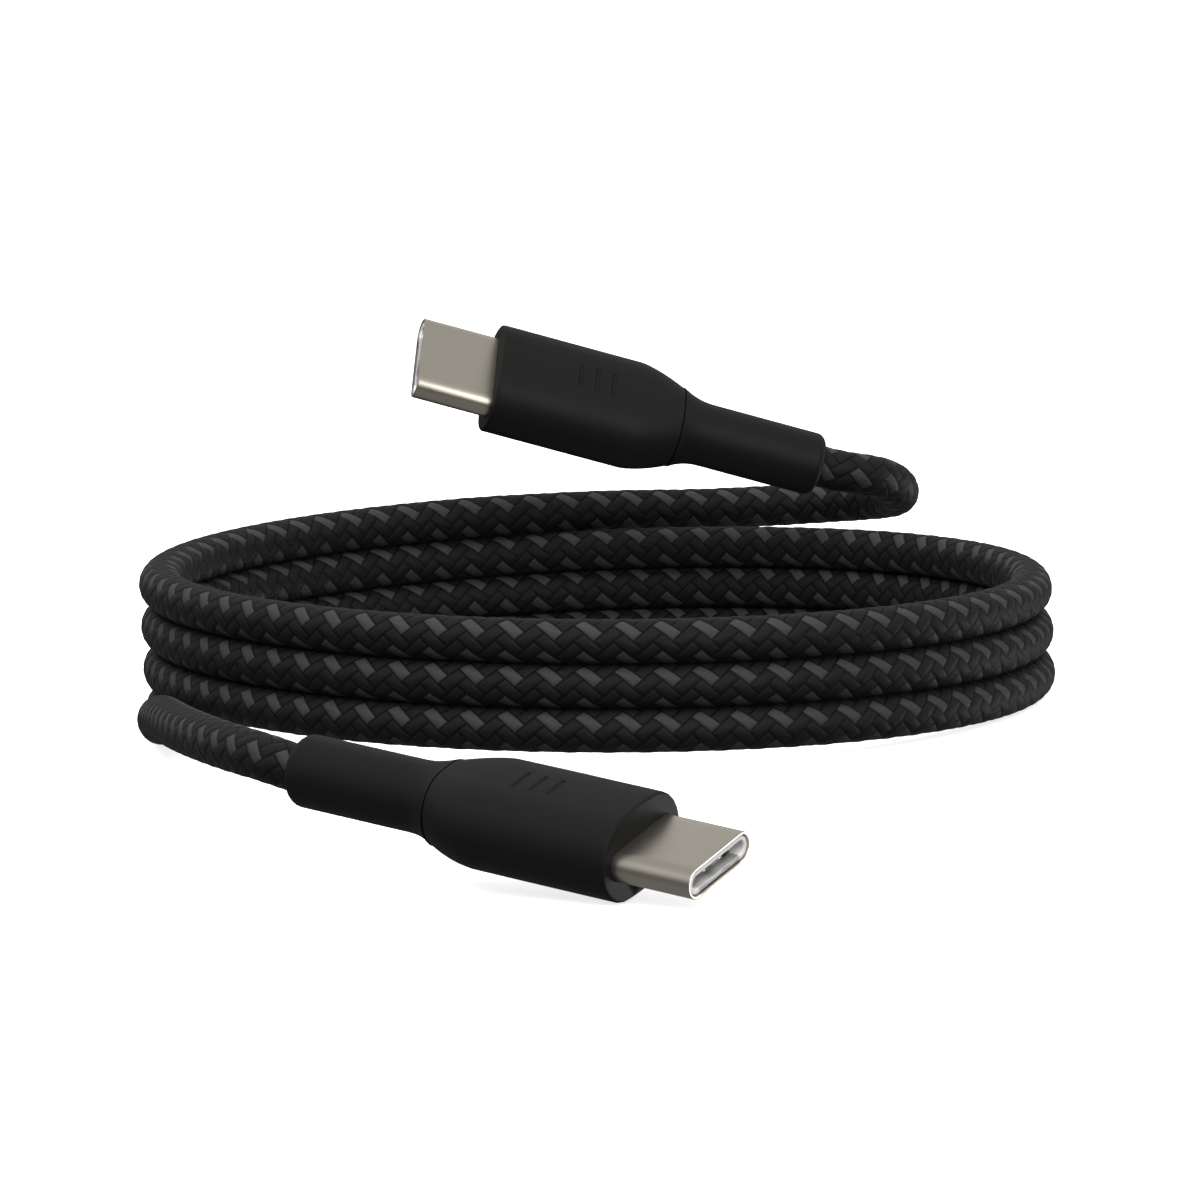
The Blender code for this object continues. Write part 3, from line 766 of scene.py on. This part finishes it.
def housing_mesh(sizes):
    """Hollow body: flat front face, crisp edge, full section, shoulder and neck."""
    width = sizes.housing_width / MM
    thickness = sizes.housing_thickness / MM
    edge = sizes.face_edge / MM
    crown = sizes.crown / MM
    shoulder = sizes.shoulder / MM
    mouth_width = sizes.shell_width / MM + SHELL_FIT
    mouth_thickness = sizes.shell_thickness / MM + SHELL_FIT
    stations = [(HOUSING_FACE, mouth_width, mouth_thickness, 0.0)]
    stations += corner(HOUSING_FACE - edge, width, thickness, edge, 4, 0, 90, crown)
    stations += [(HOUSING_FACE - step, width, thickness, crown) for step in FACE_STEPS]
    for start in sorted(GROOVE_STARTS, reverse=True):
        stations += [(start + GROOVE_WIDTH, width, thickness, crown), (start, width, thickness, crown)]
    stations.append((BODY_REAR, width, thickness, crown))
    for step in range(SHOULDER_STEPS + 1):
        part = step / SHOULDER_STEPS
        x = HOUSING_START + SEAM_EDGE + shoulder * (1.0 - part)
        stations.append((*narrowing(sizes, x, NECK_SHARE * part**SHOULDER_BEND), crown * (1.0 - part)))
    neck = narrowing(sizes, HOUSING_START, NECK_SHARE)
    neck_bore = 2 * NECK_BORE_RADIUS
    hollow_width = width - 2 * HOUSING_WALL
    hollow_thickness = thickness - 2 * HOUSING_WALL
    stations += [
        (HOUSING_START, neck[1] - SEAM_EDGE, neck[2] - SEAM_EDGE, 0.0),
        (HOUSING_START, neck_bore + NECK_BORE_FLAT, neck_bore, 0.0),
        (HOUSING_START + NECK_BORE_LENGTH, neck_bore + NECK_BORE_FLAT, neck_bore, 0.0),
        (HOUSING_START + shoulder + HOLLOW_LEAD, hollow_width, hollow_thickness, 0.0),
        (HOLLOW_FRONT, hollow_width, hollow_thickness, 0.0),
        (MOUTH_REAR, mouth_width, mouth_thickness, 0.0),
    ]
    reach = width / 2 - thickness / 2
    half = GROOVE_HALF / reach
    bm = sleeve(stations, 12, (FLAT_EDGE, half, half / 2, 0.0, -half / 2, -half, -FLAT_EDGE))
    press_grooves(bm, thickness, sizes.groove_depth / MM)
    return bm


def narrowing(sizes, x, share):
    """A station whose section goes from the body's at share 0 to the sleeve's at share 1."""
    sleeve_size = sizes.relief_diameter / MM
    width = sizes.housing_width / MM
    thickness = sizes.housing_thickness / MM
    return x, width + (sleeve_size - width) * share, thickness + (sleeve_size - thickness) * share


def press_grooves(bm, thickness, depth):
    """Three short plain grooves pressed into the top face."""
    for start in GROOVE_STARTS:
        chosen = [face for face in bm.faces if in_groove(face.calc_center_median(), start, thickness)]
        for width, sink in GROOVE_PRESSES:
            bmesh.ops.inset_region(
                bm, faces=chosen, thickness=width, depth=-depth * sink, use_even_offset=True,
            )


def in_groove(point, start, thickness):
    """Whether a point lies on the top face within the groove that begins at start."""
    if not start < point.x < start + GROOVE_WIDTH:
        return False
    return point.z > thickness * TOP_FACE_SHARE and abs(point.y) < GROOVE_HALF


def relief_mesh(sizes):
    """Sleeve with a rounded mouth, a flare up to the housing's neck, and its collar."""
    diameter = sizes.relief_diameter / MM
    edge = sizes.relief_edge / MM
    flare = sizes.flare / MM
    front = HOUSING_START - SEAM_GAP
    bore = 2 * BORE_RADIUS
    lip = edge * MOUTH_LIP_SHARE
    stations = [(lip, bore, bore, 0.0), (0.0, bore + 2 * lip, bore + 2 * lip, 0.0)]
    stations += corner(edge, diameter, diameter, edge, 7, 180, 90)
    stations += [(x, diameter, diameter, 0.0) for x in SLEEVE_RINGS]
    for step in range(FLARE_STEPS + 1):
        part = step / FLARE_STEPS
        x = front - SEAM_EDGE - flare * (1.0 - part)
        stations.append((*narrowing(sizes, x, 1.0 - (1.0 - NECK_SHARE) * part**FLARE_BEND), 0.0))
    neck = narrowing(sizes, front, NECK_SHARE)
    collar = 2 * COLLAR_RADIUS
    end = RELIEF_LENGTH + COLLAR_LENGTH
    stations += [
        (front, neck[1] - SEAM_EDGE, neck[2] - SEAM_EDGE, 0.0),
        (front, collar, collar, 0.0),
        (end - COLLAR_EDGE, collar, collar, 0.0),
        (end, collar - 2 * COLLAR_EDGE, collar - 2 * COLLAR_EDGE, 0.0),
        (end, bore, bore, 0.0),
    ]
    return sleeve(stations, 16)


def shell_mesh(sizes):
    """Drawn shell with a rolled lip at the nose."""
    width = sizes.shell_width / MM
    thickness = sizes.shell_thickness / MM
    wall = sizes.shell_wall / MM
    lip = wall * LIP_SHARE
    inner_width = width - 2 * wall
    inner_thickness = thickness - 2 * wall
    stations = [(SHELL_TAIL, width, thickness, 0.0), (HOUSING_FACE, width, thickness, 0.0)]
    stations += corner(NOSE - lip, width, thickness, lip, 5, 90, 0)
    for back, wider in INNER_LIP:
        stations.append((NOSE - back, inner_width + wider, inner_thickness + wider, 0.0))
    stations.append((SHELL_TAIL, inner_width, inner_thickness, 0.0))
    return sleeve(stations, 16, (FLAT_EDGE, 0.5, 0.0, -0.5, -FLAT_EDGE))


def block_mesh():
    """Insulating block with a bevelled front rim, the mouth slot and six finger windows."""
    bevel = 2 * BLOCK_EDGE
    sections = (
        (BLOCK_REAR, BLOCK_WIDTH, BLOCK_THICKNESS),
        (FINGER_FROM, BLOCK_WIDTH, BLOCK_THICKNESS),
        (FINGER_TO, BLOCK_WIDTH, BLOCK_THICKNESS),
        (RIM_BACK, BLOCK_WIDTH, BLOCK_THICKNESS),
        (RIM_BACK, RIM_WIDTH, RIM_THICKNESS),
        (BLOCK_FRONT - BLOCK_EDGE, RIM_WIDTH, RIM_THICKNESS),
        (BLOCK_FRONT, RIM_WIDTH - bevel, RIM_THICKNESS - bevel),
        (BLOCK_FRONT, SLOT_WIDTH + bevel, SLOT_THICKNESS + bevel),
        (BLOCK_FRONT - BLOCK_EDGE, SLOT_WIDTH, SLOT_THICKNESS),
        (FINGER_TO, SLOT_WIDTH, SLOT_THICKNESS),
        (FINGER_FROM, SLOT_WIDTH, SLOT_THICKNESS),
        (BLOCK_REAR, SLOT_WIDTH, SLOT_THICKNESS),
    )
    stations = [(*section, 0.0) for section in sections]
    reach = SLOT_WIDTH / 2 - SLOT_THICKNESS / 2
    half = WINDOW_WIDTH / 2
    sides = [middle + side * half for middle in FINGER_OFFSETS for side in (-1, 1)]
    bm = sleeve(stations, 8, tuple(side / reach for side in sorted(sides, reverse=True)))
    for face in [face for face in bm.faces if in_window(face.calc_center_median())]:
        bm.faces.remove(face)
    rims = [edge for edge in bm.edges if edge.is_boundary]
    for side in (1, -1):
        for middle in FINGER_OFFSETS:
            near = [edge for edge in rims if rim_of(edge, side, middle)]
            bmesh.ops.bridge_loops(bm, edges=near)
    bmesh.ops.recalc_face_normals(bm, faces=bm.faces)
    return bm


def in_window(point):
    """Whether a point of the block lies over one of the finger windows."""
    if not FINGER_FROM < point.x < FINGER_TO:
        return False
    return any(abs(point.y - middle) < WINDOW_WIDTH / 2 for middle in FINGER_OFFSETS)


def rim_of(edge, side, middle):
    """Whether an edge is on a rim, outer or inner, of the window at this side and offset."""
    point = (edge.verts[0].co + edge.verts[1].co) / 2
    return point.z * side > 0 and abs(point.y - middle) < WINDOW_REACH


def spring_mesh(side):
    """Thin plate with three fingers whose rounded bumps reach through the windows."""
    bm = bmesh.new()
    low = BLOCK_THICKNESS / 2 + SPRING_GAP
    plate = Matrix.Translation((PLATE_MIDDLE, 0, low + PLATE_THICKNESS / 2))
    plate = plate @ Matrix.Diagonal((PLATE_LENGTH, PLATE_WIDTH, PLATE_THICKNESS, 1.0))
    bmesh.ops.create_cube(bm, size=1.0, matrix=plate)
    bmesh.ops.bevel(
        bm, geom=bm.edges[:], offset=PLATE_EDGE, segments=2, profile=0.5, affect="EDGES", material=-1,
    )
    for middle in FINGER_OFFSETS:
        bump = Matrix.Translation((BUMP_MIDDLE, middle, low - BUMP_SINK))
        bump = bump @ Matrix.Diagonal((*BUMP_RADII, 1.0))
        bmesh.ops.create_uvsphere(bm, u_segments=20, v_segments=12, radius=1.0, matrix=bump)
    if side < 0:
        bmesh.ops.rotate(bm, cent=(0, 0, 0), matrix=Matrix.Rotation(math.pi, 3, "X"), verts=bm.verts)
    return bm


# Operators


class CABLE_OT_stage(bpy.types.Operator):
    """Lay the floor, hang the lights and set the camera"""
    bl_idname = "cable.stage"
    bl_label = "Studio"

    def execute(self, context):
        scene = context.scene
        studio = scene.cable_studio
        bm = bmesh.new()
        bmesh.ops.create_circle(bm, cap_ends=True, segments=96, radius=studio.floor_radius / MM)
        floor = add_piece("studio_floor", bm, floor_look(scene.cable_colours))
        floor.visible_diffuse = False
        floor.visible_glossy = False
        set_world(scene)
        middle = Vector((*COIL_CENTRE, LIT_HEIGHT)) * MM
        top = add_light("overhead_light", "SUN", middle + Vector(SUN_OFFSET), middle)
        top.data.energy = studio.key_strength
        top.data.angle = math.radians(SUN_SPREAD)
        top.visible_glossy = False
        box = add_light("front_box", "AREA", middle + Vector(BOX_OFFSET), middle)
        box.data.size = BOX_SIZE
        box.data.energy = studio.fill_power
        set_camera(scene, studio)
        return {"FINISHED"}


def set_world(scene):
    """Soft light that is dim near the horizon, with one glow; the camera sees plain white air."""
    world = bpy.data.worlds.new("studio_air")
    scene.world = world
    world.use_nodes = True
    air = Nodes(world.node_tree)
    where = air.node("ShaderNodeTexCoord")
    height = air.node("ShaderNodeSeparateXYZ", None, {0: where}, output=2)
    rise = air.node("ShaderNodeMapRange", None, {"Value": height, "From Min": -1.0})
    stops = [((place + 1) / 2, (level, level, level, 1.0)) for place, level in AIR_LEVELS]
    soft = air.node("ShaderNodeValToRGB", {"stops": stops}, {0: rise})
    facing = air.node(
        "ShaderNodeVectorMath", {"operation": "DOT_PRODUCT"}, {0: where, 1: GLOW_FROM}, output="Value",
    )
    spread = facing.smooth_step(GLOW_EDGE, GLOW_HEART)
    glow = air.blend(spread, soft, (GLOW_LEVEL, GLOW_LEVEL, GLOW_LEVEL, 1.0))
    seen = air.node("ShaderNodeLightPath", output="Is Camera Ray")
    light = air.blend(seen, glow, (1.0, 1.0, 1.0, 1.0))
    air.tree.links.new(light.socket, air.tree.nodes["Background"].inputs["Color"])
    scene.view_settings.view_transform = "Standard"


def add_light(name, kind, place, target):
    """A light at a place, turned to shine at its target."""
    light = bpy.data.objects.new(name, bpy.data.lights.new(name, kind))
    aim = (place - target).to_track_quat("Z", "Y").to_matrix().to_4x4()
    light.matrix_world = Matrix.Translation(place) @ aim
    bpy.context.scene.collection.objects.link(light)
    return light


def set_camera(scene, studio):
    """A long lens just above the table, turned slightly anticlockwise."""
    look_at = Vector(LOOK_AT) * MM
    dip = math.radians(CAMERA_DIP)
    roll = math.radians(CAMERA_ROLL)
    forward = Vector((0.0, math.cos(dip), -math.sin(dip)))
    right = Vector((1.0, 0.0, 0.0))
    up = right.cross(forward)
    side = right * math.cos(roll) + up * math.sin(roll)
    top = up * math.cos(roll) - right * math.sin(roll)
    turn = Matrix((side, top, -forward)).transposed().to_4x4()
    data = bpy.data.cameras.new("studio_camera")
    data.sensor_width = 36.0
    data.lens = studio.focal_length
    data.clip_start = 0.01
    data.clip_end = 100.0
    camera = bpy.data.objects.new("studio_camera", data)
    camera.matrix_world = Matrix.Translation(look_at - forward * studio.lens_distance) @ turn
    scene.collection.objects.link(camera)
    scene.camera = camera


class CABLE_OT_housings(bpy.types.Operator):
    """Mould both plug bodies with their crisp faces, shoulders and top grooves"""
    bl_idname = "cable.housings"
    bl_label = "Plug Bodies"

    def execute(self, context):
        look = plastic_look(context.scene.cable_colours)
        for tag in PLUG_PLACES:
            bm = housing_mesh(context.scene.cable_plug)
            add_plug_piece("plug_body", tag, bm, look, "soft_plastic", "plug_housing")
        return {"FINISHED"}


class CABLE_OT_reliefs(bpy.types.Operator):
    """Mould both strain reliefs with their flare and rounded mouth"""
    bl_idname = "cable.reliefs"
    bl_label = "Strain Reliefs"

    def execute(self, context):
        look = plastic_look(context.scene.cable_colours, "relief_plastic", 0.96)
        for tag in PLUG_PLACES:
            bm = relief_mesh(context.scene.cable_plug)
            add_plug_piece("relief_sleeve", tag, bm, look, "soft_plastic", "strain_relief")
        return {"FINISHED"}


class CABLE_OT_shells(bpy.types.Operator):
    """Draw both metal shells with their rolled lips"""
    bl_idname = "cable.shells"
    bl_label = "Metal Shells"

    def execute(self, context):
        look = shell_look(context.scene.cable_colours)
        for tag in PLUG_PLACES:
            bm = shell_mesh(context.scene.cable_plug)
            add_plug_piece("drawn_shell", tag, bm, look, "nickel_shell", "plug_shell")
        return {"FINISHED"}


class CABLE_OT_mouths(bpy.types.Operator):
    """Mould both contact blocks and bend the ground springs round them"""
    bl_idname = "cable.mouths"
    bl_label = "Contact Blocks and Springs"

    def execute(self, context):
        colours = context.scene.cable_colours
        block = moulded_look("light_insulator", colours.insulator)
        steel = metal_look("spring_steel", (0.78, 0.76, 0.72), 0.16)
        for tag in PLUG_PLACES:
            add_plug_piece("mouth_block", tag, block_mesh(), block, "light_insulator", "contact_housing")
            for side, place in ((1, "top"), (-1, "bottom")):
                name = "spring_fingers_" + place
                replaced = "ground_spring_" + place
                add_plug_piece(name, tag, spring_mesh(side), steel, "spring_steel", replaced)
        return {"FINISHED"}


class CABLE_OT_inner_finishes(bpy.types.Operator):
    """Finish the CAD pieces that stay: contacts, latches, board, can, ferrule and wires"""
    bl_idname = "cable.inner_finishes"
    bl_label = "Inner Pieces"

    def execute(self, context):
        colours = context.scene.cable_colours
        looks = {
            "cable_jacket_end": jacket_look(colours),
            "contact_row": metal_look("gold_contact", colours.contact, 0.18),
            "latch_plate": metal_look("latch_steel", (0.72, 0.70, 0.66), 0.2),
            "rear_insulator": moulded_look("rear_insulator", colours.insulator),
            "shield_can": metal_look("can_nickel", (0.66, 0.64, 0.60), 0.3),
            "crimp_ferrule": metal_look("copper_ferrule", (0.72, 0.45, 0.30), 0.3),
            "circuit_board": board_look(),
            "marker_chip": moulded_look("dark_chip", (0.02, 0.02, 0.02), 0.35),
            "power_wire": moulded_look("red_cover", (0.55, 0.03, 0.03)),
            "ground_wire": moulded_look("black_cover", (0.02, 0.02, 0.02)),
            "config_wire": moulded_look("blue_cover", (0.10, 0.20, 0.60)),
            "data_plus_wire": moulded_look("green_cover", (0.10, 0.45, 0.12)),
            "data_minus_wire": moulded_look("white_cover", (0.80, 0.80, 0.78)),
        }
        for name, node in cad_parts.items():
            for start, look in looks.items():
                if name.startswith(start):
                    node.data.materials.clear()
                    node.data.materials.append(look)
        return {"FINISHED"}


class CABLE_OT_cord(bpy.types.Operator):
    """Braid the cord along its route from plug A, round the coil, to plug B"""
    bl_idname = "cable.cord"
    bl_label = "Braided Cord"

    def execute(self, context):
        sizes = context.scene.cable_cord
        bm, centres, length = cord_mesh(sizes)
        look = braid_look(context.scene.cable_colours, length * MM / sizes.braid_lay)
        replaced = ("cable_coil", "cable_lead_a", "cable_lead_b")
        cord = add_piece("braided_cord", bm, look, "braid", replaced, CORD_SMOOTH_ANGLE)
        return {"FINISHED"}


class CABLE_PT_panel(bpy.types.Panel):
    """Sizes, colours and steps of the charging cable"""
    bl_label = "Charging Cable"
    bl_idname = "CABLE_PT_panel"
    bl_space_type = "VIEW_3D"
    bl_region_type = "UI"
    bl_category = "Charging Cable"

    def draw(self, context):
        for operator in OPERATORS:
            self.layout.operator(operator.bl_idname)
        for name in GROUPS:
            group = getattr(context.scene, name)
            box = self.layout.box()
            for key in group.__annotations__:
                box.prop(group, key)


OPERATORS = (
    CABLE_OT_stage,
    CABLE_OT_housings,
    CABLE_OT_reliefs,
    CABLE_OT_shells,
    CABLE_OT_mouths,
    CABLE_OT_inner_finishes,
    CABLE_OT_cord,
)
GROUPS = {
    "cable_cord": CordSizes,
    "cable_plug": PlugSizes,
    "cable_colours": CableColours,
    "cable_studio": StudioSizes,
}


def register():
    for item in (*GROUPS.values(), *OPERATORS, CABLE_PT_panel):
        bpy.utils.register_class(item)
    for name, group in GROUPS.items():
        setattr(bpy.types.Scene, name, PointerProperty(type=group))


def unregister():
    for name in GROUPS:
        delattr(bpy.types.Scene, name)
    for item in reversed((*GROUPS.values(), *OPERATORS, CABLE_PT_panel)):
        bpy.utils.unregister_class(item)


def main():
    register()
    bpy.ops.cable.stage()
    bpy.ops.cable.housings()
    bpy.ops.cable.reliefs()
    bpy.ops.cable.shells()
    bpy.ops.cable.mouths()
    bpy.ops.cable.inner_finishes()
    bpy.ops.cable.cord()


if __name__ == "__main__":
    main()
